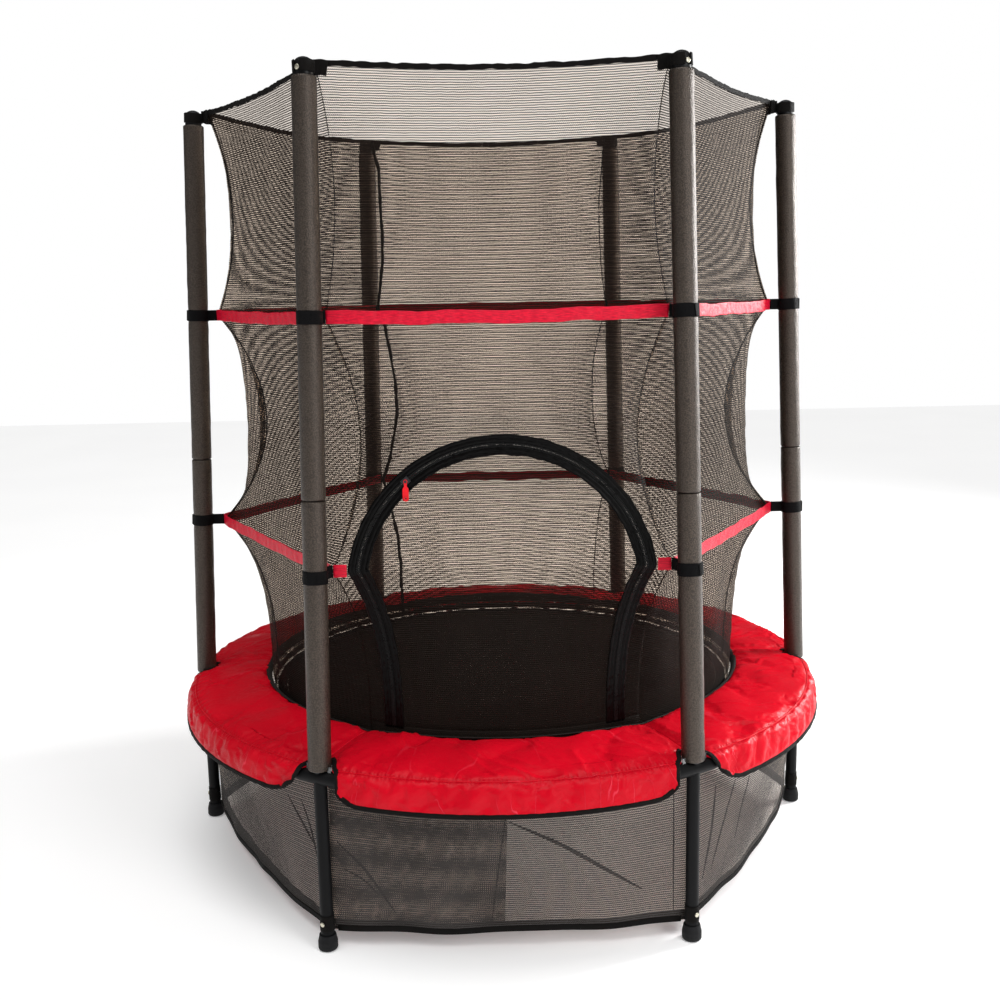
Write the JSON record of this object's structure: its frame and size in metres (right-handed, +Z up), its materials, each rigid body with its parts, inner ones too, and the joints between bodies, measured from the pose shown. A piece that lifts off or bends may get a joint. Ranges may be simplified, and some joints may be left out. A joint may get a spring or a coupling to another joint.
{
  "type": "trampoline",
  "caption": "Round child's trampoline on six legs with foam-sleeved poles, a see-through enclosure net with a zipped arched door, a red safety pad and a skirt net",
  "frame": {"origin": "on the floor under the middle of the mat", "axes": "+Z up, -Y towards the zipped door, +X to the right seen from the door"},
  "size_m": [1.4078, 1.4106, 1.5992],
  "materials": {
    "frame_steel": "black gloss powder coat",
    "pole_steel": "black powder coat",
    "foam": "charcoal closed-cell foam with a pebbled skin",
    "foot_rubber": "black moulded rubber",
    "cap_plastic": "black moulded plastic",
    "zinc": "bright zinc plate",
    "mat_weave": "black woven polypropylene",
    "pad_cover": "red coated nylon cover, slightly glossy",
    "black_webbing": "black woven webbing",
    "net_mesh": "fine black polyester mesh, see-through",
    "red_webbing": "red satin webbing",
    "zip_tape": "black zip tape with a black coil",
    "slider_metal": "black painted metal",
    "pull_red": "red moulded pull",
    "skirt_mesh": "grey-black polyester mesh, see-through"
  },
  "bodies": {
    "frame": {"leg_r": "frame_steel", "leg_br": "frame_steel", "leg_bl": "frame_steel", "leg_l": "frame_steel", "leg_fl": "frame_steel", "leg_fr": "frame_steel", "tee_r": "frame_steel", "tee_br": "frame_steel", "tee_bl": "frame_steel", "tee_l": "frame_steel", "tee_fl": "frame_steel", "tee_fr": "frame_steel", "rail_1": "frame_steel", "rail_2": "frame_steel", "rail_3": "frame_steel", "rail_4": "frame_steel", "rail_5": "frame_steel", "rail_6": "frame_steel", "foam_low_r": "foam", "foam_low_br": "foam", "foam_low_bl": "foam", "foam_low_l": "foam", "foam_low_fl": "foam", "foam_low_fr": "foam", "foam_up_r": "foam", "foam_up_br": "foam", "foam_up_bl": "foam", "foam_up_l": "foam", "foam_up_fl": "foam", "foam_up_fr": "foam", "lower_poles": "pole_steel", "upper_poles": "pole_steel", "rubber_feet": "foot_rubber", "pole_caps": "cap_plastic", "screws": "zinc", "springs": "zinc", "safety_pad": "pad_cover", "pad_binding": "black_webbing", "net_top": "net_mesh", "net_middle": "net_mesh", "net_lower": "net_mesh", "net_front": "net_mesh", "net_rim": "black_webbing", "net_pockets": "black_webbing", "net_hem": "black_webbing", "upper_strap": "red_webbing", "lower_strap": "red_webbing", "pole_loops": "black_webbing", "zip_frame_tape": "zip_tape", "skirt_net": "skirt_mesh", "skirt_hem": "black_webbing", "skirt_patches": "black_webbing"},
    "mat": {"jumping_mat": "mat_weave", "mat_edge_band": "black_webbing", "v_rings": "zinc"},
    "door": {"door_net": "net_mesh", "zip_flap_tape": "zip_tape"},
    "slider": {"zip_slider": "slider_metal"},
    "pull": {"zip_pull": "pull_red"}
  },
  "joints": [
    {"name": "mat_bounce", "type": "slide", "parent": "frame", "child": "mat", "axis": [0, 0, -1], "range_m": [0, 0.15], "stiffness_N_per_m": 2500, "springref_m": -0.003, "deforming": ["springs"]},
    {"name": "door_flap", "type": "hinge", "parent": "frame", "child": "door", "pos_m": [0, -0.47446, 0.3914], "axis": [-1, 0, 0], "range_deg": [0, 75]},
    {"name": "zip_slide", "type": "hinge", "parent": "frame", "child": "slider", "pos_m": [0, -0.53818, 0.67], "axis": [0, -0.9998, 0.0216], "range_deg": [-110, 30]},
    {"name": "pull_swing", "type": "hinge", "parent": "slider", "child": "pull", "pos_m": [-0.1711, -0.54286, 0.87406], "axis": [0, -0.9998, 0.0216], "range_deg": [-60, 60]}
  ]
}
